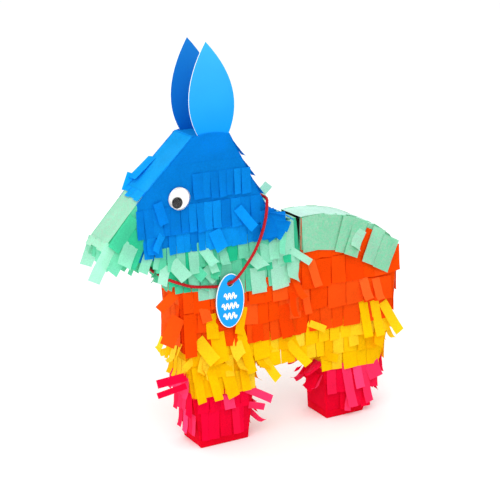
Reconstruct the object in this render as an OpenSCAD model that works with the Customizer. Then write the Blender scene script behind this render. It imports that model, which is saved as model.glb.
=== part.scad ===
// Donkey pinata: a flat-sided cardboard carton dressed in fringed tissue paper, with a
// fill lid hinged on its back, card ears, loose-pupil eyes and a tag on a neck cord.
// Frame: nose towards -X, the donkey's left side towards -Y, soles on Z = 0.

/* [Carton] */
// Thickness of the carton across the donkey
carton_w = 30; // [28:1:34]
// Thickness of the carton's card
card_t = 1.6; // [1.2:0.1:2]
// Height of the withers above the ground
withers_z = 186; // [184:1:188]
// Height of the crown of the head
crown_z = 264; // [262:1:266]
// Height of the belly above the ground
belly_z = 77; // [74:1:80]
// Place of the snout's tip along the donkey
snout_x = -130.5; // [-134:0.5:-128]

/* [Fill lid] */
// Height of the hinge score at the top of the rump
hinge_z = 150; // [148:1:152]
// Height of the lower end of the slit in front of the lid
slit_foot_z = 147.6; // [146:0.2:149]
// Width of the slit at the top of the back
slit_w = 5.5; // [4:0.5:8]
// Clearance between the lid's edges and the carton
lid_gap = 0.4; // [0.3:0.1:0.8]
// Height of the card lips that the closed lid rests round
lip_h = 6; // [4:1:9]

/* [Ears] */
// Height of the ears' tips above the ground
ear_tip_z = 337.5; // [330:0.5:345]
// Thickness of an ear's card
ear_t = 0.8; // [0.6:0.1:1]

/* [Eyes] */
// Diameter of an eye
eye_d = 18; // [18:1:22]
// Diameter of a loose pupil
pupil_d = 9; // [8:0.5:9]
// Height of a clear dome above its backing disc
dome_h = 3.2; // [3:0.2:4.4]

/* [Tissue paper] */
// Thickness of a bare tissue sheet with its glue and creases
sheet_t = 1.2; // [1:0.1:1.4]
// Thickness of a fringed row at its free edge
fringe_t = 2.2; // [1.8:0.1:2.4]
// Height of a fringed row on the body
row_h = 14; // [12:1:16]
// Height of the bare band at the top of each row
row_band = 5; // [3:1:7]

/* [Neck cord and tag] */
// Diameter of the neck cord
cord_d = 2.4; // [2:0.1:2.8]
// Height of the oval tag
tag_h = 46; // [40:1:50]
// Width of the oval tag
tag_w = 26; // [22:1:30]
// Thickness of the tag
tag_t = 0.8; // [0.5:0.1:1]
// Diameter of the tag's hole
tag_hole_d = 6; // [5.6:0.2:7]

/* [Hidden] */

half_w = carton_w / 2;
inner_w = carton_w - 2 * card_t;
far = 400;              // longer than the donkey in every direction
skirt_gap = 0.3;        // air between papers that pass over each other
curve_steps = 10;
tape_t = 0.4;
hinge_bare = 2;         // bare card on both sides of the hinge score
tape_reach = 3;         // steps of the rump's curve that the hinge tape covers
flap_z = withers_z + sheet_t + skirt_gap;

// Landmarks of the donkey's outline, seen from its left side.
sole_front = [-50, 0];
knee = [-66.5, 95];
chest_top = [-70, 143];
throat = [-78.5, 166];
jaw = [-111.5, 171];
snout = [snout_x, 188];
brow = [-100, 221.5];
crown_front = [-55.5, crown_z];
crown_back = [-23.5, crown_z];
neck_back = [7, 207.5];
neck_foot = [11.5, 194];
withers_front = [17, withers_z];
slit_front = [44.5 - slit_w, withers_z];
slit_foot = [44, slit_foot_z];
lid_front = [44.5, withers_z];
back_pull = [105, withers_z + 4];
hinge = [143.5, hinge_z];
rump_pull = [146, 79];
rear_sole_back = [109.5, 0];
rear_sole_front = [74, 0];
groin_back = [67, belly_z];
groin_front = [2, belly_z];
sole_back = [-7, 0];

function bow(a, b, c, steps) = [for (i = [1:steps]) let (t = i / steps)
    (1 - t) * (1 - t) * a + 2 * t * (1 - t) * b + t * t * c];

// The outline runs clockwise from the front sole, so its inside is on the right.
outline = concat(
    [sole_front, knee, chest_top, throat, jaw, snout, brow, crown_front, crown_back,
     neck_back, neck_foot, withers_front, slit_front, lid_front],
    bow(lid_front, back_pull, hinge, curve_steps),
    bow(hinge, rump_pull, rear_sole_back, curve_steps),
    [rear_sole_front, groin_back, groin_front, sole_back]);

// Places in the outline's list where the strips of card meet.
at_throat = 3;
at_jaw = 4;
at_snout = 5;
at_brow = 6;
at_crown_front = 7;
at_crown_back = 8;
at_neck_back = 9;
at_withers = 11;
at_slit = 12;
at_lid = 13;
at_hinge = at_lid + curve_steps;
at_rear_sole = at_hinge + curve_steps;
at_rear_leg = at_rear_sole + 1;
at_groin_back = at_rear_leg + 1;
at_groin_front = at_groin_back + 1;
at_sole_back = at_groin_front + 1;
at_end = at_sole_back + 1;

function point(i) = outline[(i + len(outline)) % len(outline)];
function inward(i) = let (v = point(i + 1) - point(i)) [v[1], -v[0]] / norm(v);
function mitre(i) = let (a = inward(i - 1), b = inward(i)) (a + b) / (1 + a * b);
function offset_point(i, d) = point(i) + d * mitre(i);
function grown(d) = [for (i = [0:len(outline) - 1]) offset_point(i, -d)];
function band(from, to, outer, inner) = concat(
    [for (i = [from:to]) offset_point(i, -outer)],
    [for (i = [to:-1:from]) offset_point(i, inner)]);

// The part of the side view that lifts with the lid, above or below its lower edge.
function lid_region(lift, front_top, front_foot) = [
    [front_foot, slit_foot_z + lift], [front_top, withers_z], [front_top, far], [far, far],
    [far, hinge_z + lift], [hinge[0], hinge_z + lift]];
cut_out = lid_region(-lid_gap / 2, slit_front[0], slit_foot[0]);
lid_face = lid_region(lid_gap / 2, lid_front[0], lid_front[0]);

// The crease between the front and the rear papers of the body.
crease_low = [35, 70];
crease_high = [44, 152];
function crease_x(z) = crease_low[0]
    + (crease_high[0] - crease_low[0]) * (z - crease_low[1]) / (crease_high[1] - crease_low[1]);

// Heights where one colour of paper gives way to the next.
blue_foot_z = 169;
mint_front_z = 150;
mint_foot_z = 131;
neck_x = 20;            // where the head's blue paper ends on the side of the neck
orange_foot_z = 86;
yellow_foot_z = 46;
fringe_hang = 14;       // how far the yellow fringe hangs below the belly
pink_foot_z = 3;

// Eye: centre in the side view, and the pupil's place in its dome.
eye = [-69, 217];
dome_wall = 0.5;
backing_t = 0.8;
pupil_t = 0.8;
pupil_drop = [-2.2, -3.0];
eye_y = half_w + sheet_t;

// Ears: the leaf's base and the bows of its two edges.
ear_base_front = [-51, crown_z];
ear_base_back = [-24, crown_z];
ear_tip = [-44, ear_tip_z];
ear_bow_front = [-69.8, 295];
ear_bow_back = [-7.2, 300];
ear_tab_h = 14;

// Muzzle papers: the fringe hangs forwards and down from the snout.
muzzle_fringe_tip = [-146, 163];
muzzle_fringe_foot = [-138, 158];

// Neck cord: from the knot over the nape, down the left side, through the tag's hole,
// round the chest, and back up the right side to the knot.
tag_hole = [-26, 142];
side_y = half_w + fringe_t + skirt_gap + cord_d / 2;
tag_y = side_y + cord_d / 2 + skirt_gap + tag_t / 2;
front_y = tag_y + tag_t / 2 + skirt_gap + cord_d / 2;
tag_top = 8;            // from the hole's centre up to the tag's top
cord_route = [
    [10, 19, 203], [12, 14, 206], [12.5, 6, 207], [12.5, -6, 207], [12, -14, 206],
    [9.5, -19, 203], [8.5, -20, 197], [7, -20.5, 190], [4.5, -21, 182], [0.5, -21.5, 173],
    [-5, -22.2, 164], [-12, -22.4, 155], [-17, -22.5, 149.4], [-21, -22.5, 145.6],
    [-23.5, -22.3, 143.7], [-24.8, -21.6, 142.8], [-26, -20.6, 142], [-27.2, -19.6, 141.2],
    [-28.5, -18.9, 140.4], [-32, -18.7, 139.8], [-38, -18.7, 140.2], [-46, -18.8, 141.4],
    [-54, -18.8, 142.6], [-62, -19, 144.5], [-70, -19.5, 148], [-77, -18.5, 151],
    [-80.5, -13, 152.5], [-81.5, -5, 153], [-81.5, 5, 153], [-80.5, 13, 153],
    [-77, 18.5, 153], [-70, 19.5, 153], [-58, 19.3, 154], [-44, 19.2, 157],
    [-30, 19.2, 162], [-17, 19.3, 169], [-6, 19.5, 178], [2, 20, 188], [6.5, 20.5, 196]];
cord_sides = 8;
knot_centre = [8.6, 20.6, 200.4];
knot_r = 2.6;

blue = "#0487e1";
light_blue = "#1fb0ff";
mint = "#6fdcb9";
orange = "#ff5a02";
yellow = "#fecf03";
pink = "#f0142d";
card_colour = "#e6dccb";

// Stands a side view up and gives it a thickness from y0 to y1.
module side_slab(y0, y1) {
    translate([0, y1, 0]) rotate([90, 0, 0]) linear_extrude(y1 - y0) children();
}

module both_sides(y0, y1) {
    side_slab(-y1, -y0) children();
    side_slab(y0, y1) children();
}

module on_side(side, y0, y1) {
    side_slab(side < 0 ? -y1 : y0, side < 0 ? -y0 : y1) children();
}

module card_strip(from, to) {
    color(card_colour) side_slab(-inner_w / 2, inner_w / 2) polygon(band(from, to, 0, card_t));
}

module side_panel(side) {
    color(card_colour) on_side(side, half_w - card_t, half_w) difference() {
        polygon(outline);
        polygon(cut_out);
    }
}

module left_side_panel() { side_panel(-1); }
module right_side_panel() { side_panel(1); }
module chest_strip() { card_strip(0, at_throat); }
module jaw_strip() { card_strip(at_throat, at_jaw); }
module muzzle_strip() { card_strip(at_jaw, at_snout); }
module face_strip() { card_strip(at_snout, at_crown_front); }
module crown_strip() { card_strip(at_crown_front, at_crown_back); }
module nape_strip() { card_strip(at_crown_back, at_withers); }
module rear_sole() { card_strip(at_rear_sole, at_rear_leg); }
module rear_leg_front_strip() { card_strip(at_rear_leg, at_groin_back); }
module belly_strip() { card_strip(at_groin_back, at_groin_front); }
module front_leg_rear_strip() { card_strip(at_groin_front, at_sole_back); }
module front_sole() { card_strip(at_sole_back, at_end); }

module withers_strip() {
    color(card_colour) side_slab(-inner_w / 2, inner_w / 2) difference() {
        polygon(band(at_withers, at_slit, 0, card_t));
        polygon(cut_out);
    }
}

module rump_strip() {
    color(card_colour) side_slab(-inner_w / 2, inner_w / 2) difference() {
        polygon(band(at_hinge, at_rear_sole, 0, card_t));
        polygon(cut_out);
    }
}

// Fill lid: the top of the back and its two cheeks, cut out of the carton.
module lid_top() {
    color(card_colour) side_slab(-inner_w / 2, inner_w / 2) intersection() {
        polygon(band(at_lid, at_hinge, 0, card_t));
        polygon(lid_face);
    }
}

module lid_cheek(side) {
    color(card_colour) on_side(side, half_w - card_t, half_w) intersection() {
        polygon(outline);
        polygon(lid_face);
    }
}

module lid_left_cheek() { lid_cheek(-1); }
module lid_right_cheek() { lid_cheek(1); }

module lid_lip(side) {
    glued = 8;
    front = slit_foot[0] + 6;
    back = hinge[0] - 14;
    color(card_colour) on_side(side, half_w - card_t - skirt_gap - card_t, half_w - card_t)
        polygon([[front, slit_foot_z - glued], [front, slit_foot_z - lid_gap],
                 [back, slit_foot_z - lid_gap], [back, slit_foot_z - glued]]);
    color(card_colour) on_side(side, half_w - card_t - skirt_gap - card_t,
                               half_w - card_t - skirt_gap)
        polygon([[front, slit_foot_z - glued], [front + 2, slit_foot_z + lip_h],
                 [back - 6, slit_foot_z + lip_h], [back, slit_foot_z - glued]]);
}

module lid_left_lip() { lid_lip(-1); }
module lid_right_lip() { lid_lip(1); }

// Paper tape glued to the rump under the tissue; its free upper edge is the lid's hinge.
module hinge_tape() {
    color("#d8c9a8") side_slab(-inner_w / 2, inner_w / 2) difference() {
        polygon(band(at_hinge, at_hinge + tape_reach, tape_t, 0));
        polygon(cut_out);
    }
}

module ear(side) {
    color(light_blue) on_side(side, half_w, half_w + ear_t)
        polygon(concat([ear_base_front], bow(ear_base_front, ear_bow_front, ear_tip, 14),
            bow(ear_tip, ear_bow_back, ear_base_back, 14),
            [ear_base_back + [-2, -ear_tab_h], ear_base_front + [4, -ear_tab_h]]));
}

module left_ear() { ear(-1); }
module right_ear() { ear(1); }

// Turns a shape that rises along +Z out of one side of the head, at the eye.
module at_eye(side, height) {
    translate([eye[0], side * (eye_y + height), eye[1]]) rotate([side < 0 ? 90 : -90, 0, 0])
        children();
}

module eye_backing(side) {
    color("white") at_eye(side, 0) cylinder(h = backing_t, d = eye_d, $fn = 48);
}

module left_eye_backing() { eye_backing(-1); }
module right_eye_backing() { eye_backing(1); }

// A loose disc that rolls round inside the dome.
module pupil(side) {
    color("#111111") translate([pupil_drop[0], 0, pupil_drop[1]])
        at_eye(side, backing_t + 0.3) cylinder(h = pupil_t, d = pupil_d, $fn = 48);
}

module left_pupil() { pupil(-1); }
module right_pupil() { pupil(1); }

module eye_dome(side) {
    skirt = 1.4;
    arc = 8;
    function cap(r, h) = [for (i = [0:arc]) let (a = 90 * i / arc)
        [r * cos(a), skirt + (h - skirt) * sin(a)]];
    color("white", 0.4) at_eye(side, backing_t) rotate_extrude($fn = 48) polygon(concat(
        [[eye_d / 2, 0]], cap(eye_d / 2, dome_h),
        [[0, dome_h - dome_wall]],
        [for (i = [arc - 1:-1:0]) cap(eye_d / 2 - dome_wall, dome_h - dome_wall)[i]],
        [[eye_d / 2 - dome_wall, 0]]));
}

module left_eye_dome() { eye_dome(-1); }
module right_eye_dome() { eye_dome(1); }

// Sweeps a round section along a list of points, turning it as little as it can.
module tube(points, d, sides) {
    last = len(points) - 1;
    function unit(v) = v / norm(v);
    function heading(i) = unit(points[min(i + 1, last)] - points[max(i - 1, 0)]);
    function square_to(v, t) = unit(v - (v * t) * t);
    across = [for (i = 0, u = square_to([0, 0, 1], heading(0)); i <= last;
        i = i + 1, u = square_to(u, heading(min(i, last)))) u];
    rings = [for (i = [0:last]) let (u = across[i], v = cross(heading(i), u))
        for (k = [0:sides - 1]) let (a = 360 * k / sides)
            points[i] + d / 2 * (cos(a) * u + sin(a) * v)];
    walls = [for (i = [0:last - 1], k = [0:sides - 1]) let (n = (k + 1) % sides)
        [i * sides + k, (i + 1) * sides + k, (i + 1) * sides + n, i * sides + n]];
    polyhedron(rings, concat(walls, [[for (k = [0:sides - 1]) k]],
        [[for (k = [sides - 1:-1:0]) last * sides + k]]), convexity = 8);
}

module neck_cord() { color("#c4141f") tube(cord_route, cord_d, cord_sides); }
module cord_knot() { color("#c4141f") translate(knot_centre) sphere(r = knot_r, $fn = 24); }

module tag() {
    centre_z = tag_hole[1] + tag_top - tag_h / 2;
    steps = 48;
    color("#28b0ea") difference() {
        side_slab(-tag_y - tag_t / 2, -tag_y + tag_t / 2) polygon([for (i = [0:steps - 1])
            let (a = 360 * i / steps)
            [tag_hole[0] + tag_w / 2 * cos(a), centre_z + tag_h / 2 * sin(a)]]);
        translate([tag_hole[0], 0, tag_hole[1]]) rotate([90, 0, 0])
            cylinder(h = 2 * tag_y, d = tag_hole_d, $fn = 48);
    }
}

// Tissue paper on the carton's edges, glued flat between its side faces.
module edge_paper(from, to, thickness, hue) {
    color(hue) side_slab(-half_w, half_w) polygon(band(from, to, thickness, 0));
}

module crown_paper() { edge_paper(at_crown_front, at_crown_back, sheet_t, blue); }
module nape_paper() { edge_paper(at_crown_back, at_withers, sheet_t, blue); }
module jaw_paper() { edge_paper(at_throat, at_snout, sheet_t, mint); }
module forehead_paper() { edge_paper(at_brow, at_crown_front, sheet_t, light_blue); }
module muzzle_paper() { edge_paper(at_snout, at_brow, sheet_t, mint); }
module withers_paper() {
    color(mint) side_slab(-half_w, half_w) difference() {
        polygon(band(at_withers, at_slit, sheet_t, 0));
        polygon(cut_out);
    }
}

// The loose end of the head's blue paper, lying on the withers.
module nape_flap() {
    color(blue) side_slab(-half_w, half_w)
        polygon([[13.2, 195], [18.6, flap_z], [37, flap_z], [37, flap_z + sheet_t],
                 [22, flap_z + 2], [15.5, 196]]);
}

// A row of fringe in the side view, from its glued band down to its free edge.
module row(top, foot, x0, x1) {
    translate([x0, foot]) square([x1 - x0, top - foot]);
}

// Blue paper on each side of the head: a bare sheet above three fringed rows.
module blue_fringe(side) {
    sheet_foot = 231;
    rows = [[sheet_foot, 210], [210, 186], [186, blue_foot_z]];
    color(blue) difference() {
        union() {
            on_side(side, half_w, half_w + sheet_t) intersection() {
                polygon(outline);
                row(far, blue_foot_z, -105, neck_x - skirt_gap);
            }
            on_side(side, half_w, half_w + fringe_t) for (r = rows) intersection() {
                polygon(outline);
                row(r[0] - row_band, r[1], -105, neck_x - skirt_gap);
                difference() {
                    square(2 * far, center = true);
                    translate(eye) circle(d = eye_d + 1, $fn = 48);
                }
            }
        }
        on_side(side, half_w - 1, half_w + ear_t)
            polygon([ear_base_front + [-1, 1], ear_base_back + [1, 1],
                     ear_base_back + [-1, -ear_tab_h - 1], ear_base_front + [3, -ear_tab_h - 1]]);
    }
}

module left_blue_fringe() { blue_fringe(-1); }
module right_blue_fringe() { blue_fringe(1); }

module muzzle_fringe(side) {
    color(mint) on_side(side, half_w, half_w + fringe_t) difference() {
        polygon([snout, [-105.3, 215.5], [-105.3, 168], [-96, 168], [-96, 160], [-112, 158],
                 [-124, 166]]);
        row(far, blue_foot_z - skirt_gap, -105, neck_x);
    }
}

module left_muzzle_fringe() { muzzle_fringe(-1); }
module right_muzzle_fringe() { muzzle_fringe(1); }

module front_muzzle_fringe() {
    color(mint) side_slab(-half_w, half_w) difference() {
        polygon([snout + [-2.7, 0], muzzle_fringe_tip, muzzle_fringe_foot, jaw + [-4, -8],
                 jaw + [-2, 0]]);
        polygon(grown(sheet_t + 0.1));
    }
}

// Mint paper on each side of the neck, below the head's blue fringe.
module mint_fringe(side) {
    color(mint) for (layer = [[sheet_t, blue_foot_z - skirt_gap], [fringe_t, 158]])
        on_side(side, half_w, half_w + layer[0]) difference() {
            intersection() {
                polygon(outline);
                front_part();
                polygon([[-far, layer[1]], [neck_x, layer[1]], [neck_x, far], [far, far],
                         [far, mint_foot_z], [-8, mint_foot_z], [-52, mint_foot_z + 9],
                         [-80, mint_front_z], [-far, mint_front_z]]);
            }
            polygon(cut_out);
        }
}

module left_mint_fringe() { mint_fringe(-1); }
module right_mint_fringe() { mint_fringe(1); }

// Rows of fringe wrapped round the carton between two heights, inside the children's outline.
module wrapped_rows(top, foot) {
    rows = round((top - foot) / row_h);
    pitch = (top - foot) / rows;
    for (layer = [[sheet_t, 0], [fringe_t, row_band]]) {
        both_sides(half_w, half_w + layer[0]) for (i = [0:rows - 1]) intersection() {
            polygon(outline);
            row(top - i * pitch - layer[1], top - (i + 1) * pitch, -far, far);
            children();
        }
        side_slab(-half_w - layer[0], half_w + layer[0]) for (i = [0:rows - 1]) intersection() {
            difference() {
                polygon(grown(layer[0]));
                polygon(outline);
            }
            row(top - i * pitch - layer[1], top - (i + 1) * pitch, -far, far);
            children();
        }
    }
}

module front_part() {
    polygon([[-far, 0], [crease_x(0) - skirt_gap, 0], [crease_x(far) - skirt_gap, far],
             [-far, far]]);
}

module rear_part() {
    difference() {
        polygon([[crease_x(0) + skirt_gap, 0], [far, 0], [far, far],
                 [crease_x(far) + skirt_gap, far]]);
        polygon(cut_out);
    }
}

module below_mint() {
    intersection() {
        front_part();
        polygon([[-far, 0], [far, 0], [far, mint_foot_z - skirt_gap],
                 [-8, mint_foot_z - skirt_gap], [-52, mint_foot_z + 9 - skirt_gap],
                 [-80, mint_front_z - skirt_gap], [-far, mint_front_z - skirt_gap]]);
    }
}

// Yellow strips on each side that hang past the belly into the gap between the legs.
module belly_hang(x0, x1) {
    both_sides(half_w, half_w + sheet_t) row(belly_z + 2, belly_z - fringe_hang, x0, x1);
}

module front_orange_fringe() {
    color(orange) wrapped_rows(mint_front_z, orange_foot_z) below_mint();
}

module rear_orange_fringe() {
    color(orange) difference() {
        wrapped_rows(hinge_z - hinge_bare, orange_foot_z) rear_part();
        side_slab(-far, far) polygon(band(at_hinge, at_hinge + tape_reach, tape_t + 0.1, 1));
    }
}

module front_yellow_fringe() {
    color(yellow) {
        wrapped_rows(orange_foot_z - skirt_gap, yellow_foot_z) front_part();
        belly_hang(groin_front[0] - 2, crease_x(belly_z) - 2);
    }
}

module rear_yellow_fringe() {
    color(yellow) {
        wrapped_rows(orange_foot_z - skirt_gap, yellow_foot_z) rear_part();
        belly_hang(crease_x(belly_z) + 2, groin_back[0] + 2);
    }
}

module front_pink_fringe() {
    color(pink) wrapped_rows(yellow_foot_z - skirt_gap, pink_foot_z) front_part();
}

module rear_pink_fringe() {
    color(pink) wrapped_rows(yellow_foot_z - skirt_gap, pink_foot_z) rear_part();
}

module lid_paper() {
    color(mint) side_slab(-half_w, half_w) intersection() {
        polygon(band(at_lid, at_hinge, sheet_t, 0));
        polygon(lid_face);
        row(far, hinge_z + hinge_bare, -far, far);
    }
}

// Mint fringe on the lid's cheeks; its lower ends hang over the orange fringe.
module lid_fringe(side) {
    over = half_w + fringe_t + skirt_gap;
    color(mint) on_side(side, half_w, over + sheet_t) intersection() {
        polygon(outline);
        polygon(lid_face);
    }
    color(mint) on_side(side, over, over + sheet_t)
        polygon([[lid_front[0], slit_foot_z + 4], [lid_front[0], slit_foot_z - 2],
                 [95, slit_foot_z - 3], [118, 138], [127, 130], [136, 137], [142, 149],
                 [138, 154]]);
}

module left_lid_fringe() { lid_fringe(-1); }
module right_lid_fringe() { lid_fringe(1); }

left_side_panel();
right_side_panel();
crown_strip();
face_strip();
muzzle_strip();
jaw_strip();
chest_strip();
front_sole();
front_leg_rear_strip();
belly_strip();
rear_leg_front_strip();
rear_sole();
rump_strip();
withers_strip();
nape_strip();
lid_top();
lid_left_cheek();
lid_right_cheek();
lid_left_lip();
lid_right_lip();
hinge_tape();
left_ear();
right_ear();
left_eye_backing();
right_eye_backing();
left_pupil();
right_pupil();
left_eye_dome();
right_eye_dome();
neck_cord();
cord_knot();
tag();
crown_paper();
forehead_paper();
muzzle_paper();
nape_paper();
nape_flap();
left_blue_fringe();
right_blue_fringe();
left_muzzle_fringe();
right_muzzle_fringe();
front_muzzle_fringe();
jaw_paper();
left_mint_fringe();
right_mint_fringe();
withers_paper();
front_orange_fringe();
rear_orange_fringe();
front_yellow_fringe();
rear_yellow_fringe();
front_pink_fringe();
rear_pink_fringe();
lid_paper();
left_lid_fringe();
right_lid_fringe();
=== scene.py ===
"""Looks of the donkey pinata: tissue paper fringes, card, eyes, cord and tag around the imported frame."""
import math
import random

import bmesh
import bpy
from mathutils import Matrix, Vector, noise
from mathutils.bvhtree import BVHTree


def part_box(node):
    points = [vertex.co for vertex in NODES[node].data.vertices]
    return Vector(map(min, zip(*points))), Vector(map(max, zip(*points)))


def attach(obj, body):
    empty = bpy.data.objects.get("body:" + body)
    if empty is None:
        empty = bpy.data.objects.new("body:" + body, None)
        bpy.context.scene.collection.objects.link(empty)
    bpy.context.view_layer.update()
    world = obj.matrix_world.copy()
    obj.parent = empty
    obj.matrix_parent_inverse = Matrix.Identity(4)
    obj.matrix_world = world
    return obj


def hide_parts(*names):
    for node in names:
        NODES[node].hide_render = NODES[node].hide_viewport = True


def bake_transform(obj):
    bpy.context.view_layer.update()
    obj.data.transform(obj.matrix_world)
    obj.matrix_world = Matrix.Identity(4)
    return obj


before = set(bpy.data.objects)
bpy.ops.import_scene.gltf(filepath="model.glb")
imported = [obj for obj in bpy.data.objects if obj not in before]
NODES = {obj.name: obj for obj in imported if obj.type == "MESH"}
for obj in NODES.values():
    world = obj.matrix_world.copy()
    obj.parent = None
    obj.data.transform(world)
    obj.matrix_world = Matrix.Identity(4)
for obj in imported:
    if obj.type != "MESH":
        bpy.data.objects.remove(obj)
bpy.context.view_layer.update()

MM = 0.001
LEFT = -1               # sides of the donkey, as signs along Y
RIGHT = 1
BOTH = (LEFT, RIGHT)
SIDE_NAME = {LEFT: "left", RIGHT: "right"}
DOWN = Vector((0, 0, -1))


def mm(*values):
    return Vector(values) * MM


def paint(mesh, material):
    """Gives a mesh its only material."""
    mesh.materials.clear()
    mesh.materials.append(material)


def put(name, data, material=None, smooth=False):
    """A new object in the scene that shows this mesh, light or camera."""
    item = bpy.data.objects.new(name, data)
    bpy.context.scene.collection.objects.link(item)
    if material:
        paint(data, material)
    if smooth:
        data.polygons.foreach_set("use_smooth", [True] * len(data.polygons))
    return item


def slice_mesh(bm, place, normal):
    """Cuts a mesh's faces along a plane."""
    parts = bm.verts[:] + bm.edges[:] + bm.faces[:]
    bmesh.ops.bisect_plane(bm, geom=parts, plane_co=place, plane_no=normal)


def mesh_from(bm, name):
    """A mesh made from a bmesh, which is freed."""
    mesh = bpy.data.meshes.new(name)
    bm.to_mesh(mesh)
    bm.free()
    return mesh


# ---------------------------------------------------------------- camera

CAMERA_PLACE = mm(-540.6, -942.3, 479.5)
CAMERA_AIM = mm(4.6, 0, 160.1)
CAMERA_LENS = 98.6


def make_camera():
    data = bpy.data.cameras.new("camera")
    data.lens = CAMERA_LENS
    data.sensor_width = 36
    data.clip_end = 50
    camera = put("camera", data)
    camera.location = CAMERA_PLACE
    camera.rotation_euler = (CAMERA_AIM - CAMERA_PLACE).to_track_quat("-Z", "Y").to_euler()
    bpy.context.scene.camera = camera


make_camera()


# ---------------------------------------------------------------- materials

def linear(hex_colour):
    """Linear RGBA of a colour written as six sRGB digits."""
    parts = [int(hex_colour[i:i + 2], 16) / 255 for i in (0, 2, 4)]
    return [c / 12.92 if c <= 0.04045 else ((c + 0.055) / 1.055) ** 2.4 for c in parts] + [1]


class Shader:
    """A material's node tree, built step by step."""

    def __init__(self, name):
        self.material = bpy.data.materials.new(name)
        self.material.use_nodes = True
        self.tree = self.material.node_tree
        self.tree.nodes.clear()
        self.output = self.add("ShaderNodeOutputMaterial")
        self.principled = self.add("ShaderNodeBsdfPrincipled")
        self.link(self.principled.outputs[0], self.output.inputs["Surface"])

    def add(self, kind, **values):
        """A new node. Each value is for one of its settings, or else for one of its inputs."""
        node = self.tree.nodes.new(kind)
        for key, value in values.items():
            if hasattr(node, key):
                setattr(node, key, value)
            else:
                node.inputs[key.replace("_", " ").title()].default_value = value
        return node

    def link(self, out, into):
        self.tree.links.new(out, into)

    def feed(self, value, socket):
        """Links a socket to another node's, or gives it a constant."""
        if isinstance(value, bpy.types.NodeSocket):
            self.link(value, socket)
        else:
            socket.default_value = value

    def place(self, uv=False):
        return self.add("ShaderNodeTexCoord").outputs["UV" if uv else "Object"]

    def noise(self, where, scale, detail=3, roughness=0.5):
        node = self.add("ShaderNodeTexNoise", scale=scale, detail=detail, roughness=roughness)
        self.link(where, node.inputs["Vector"])
        return node.outputs["Fac"]

    def ramp(self, value, stops):
        node = self.add("ShaderNodeValToRGB")
        ramp = node.color_ramp
        ramp.elements[0].position, ramp.elements[0].color = stops[0]
        ramp.elements[1].position, ramp.elements[1].color = stops[-1]
        for position, colour in stops[1:-1]:
            ramp.elements.new(position).color = colour
        self.link(value, node.inputs["Fac"])
        return node.outputs["Color"]

    def mix(self, fac, a, b, blend="MIX"):
        node = self.add("ShaderNodeMix", data_type="RGBA", blend_type=blend)
        self.feed(fac, node.inputs[0])
        self.feed(a, node.inputs[6])
        self.feed(b, node.inputs[7])
        return node.outputs[2]

    def bump(self, height, strength, distance, onto=None):
        node = self.add("ShaderNodeBump", strength=strength, distance=distance)
        self.link(height, node.inputs["Height"])
        if onto:
            self.link(onto, node.inputs["Normal"])
        return node.outputs["Normal"]

    def surface(self, colour, roughness, normal, specular=0.5):
        """Sets the principled surface, and gives back the material."""
        for key, value in (("Base Color", colour), ("Roughness", roughness), ("Normal", normal),
                           ("Specular IOR Level", specular)):
            self.feed(value, self.principled.inputs[key])
        return self.material

    def blend(self, fac, one, two):
        """Shows a mix of two shader nodes."""
        both = self.add("ShaderNodeMixShader")
        self.feed(fac, both.inputs[0])
        self.link(one.outputs[0], both.inputs[1])
        self.link(two.outputs[0], both.inputs[2])
        self.link(both.outputs[0], self.output.inputs["Surface"])


def grey(level):
    return (level, level, level, 1)


TONE = "tone"           # attribute: 0 for the deepest paper, 1 for the palest; in places it also carries painted light and shade


def tissue(name, deep, middle, pale, glue=None, through=0.25):
    """Crepe tissue: its tone comes strip by strip, with fibres, creases and light through it."""
    s = Shader(name)
    tone = s.add("ShaderNodeAttribute", attribute_name=TONE)
    colour = s.ramp(tone.outputs["Fac"],
                    [(0, linear(deep)), (0.5, linear(middle)), (1, linear(pale))])
    where = s.place()
    cloud = s.noise(where, 45, 4, 0.6)
    shade = s.ramp(cloud, [(0.3, grey(0.9)), (0.7, grey(1.05))])
    colour = s.mix(1.0, colour, shade, "MULTIPLY")
    if glue:
        blot = s.ramp(s.noise(where, 420, 6, 0.8), [(0.42, grey(0)), (0.72, grey(0.8))])
        colour = s.mix(blot, colour, linear(glue))
    fibre = s.ramp(s.noise(where, 1150, 4, 0.7), [(0.3, grey(0.87)), (0.66, grey(1.1))])
    colour = s.mix(1.0, colour, fibre, "MULTIPLY")
    crepe = s.add("ShaderNodeTexWave", wave_type="BANDS", bands_direction="Y", scale=0.55,
                  distortion=6, detail=3, detail_scale=1.4)
    s.link(s.place(uv=True), crepe.inputs["Vector"])
    ribs = s.bump(crepe.outputs["Fac"], 0.18, 0.0002)
    fibres = s.bump(s.noise(where, 1600, 4, 0.65), 0.25, 0.0002, ribs)
    creases = s.bump(s.noise(where, 140, 3, 0.55), 0.35, 0.0012, fibres)
    glow = s.add("ShaderNodeBsdfTranslucent")
    s.link(colour, glow.inputs["Color"])
    s.link(creases, glow.inputs["Normal"])
    s.blend(through, s.principled, glow)
    return s.surface(colour, 0.85, creases, specular=0.04)


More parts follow.
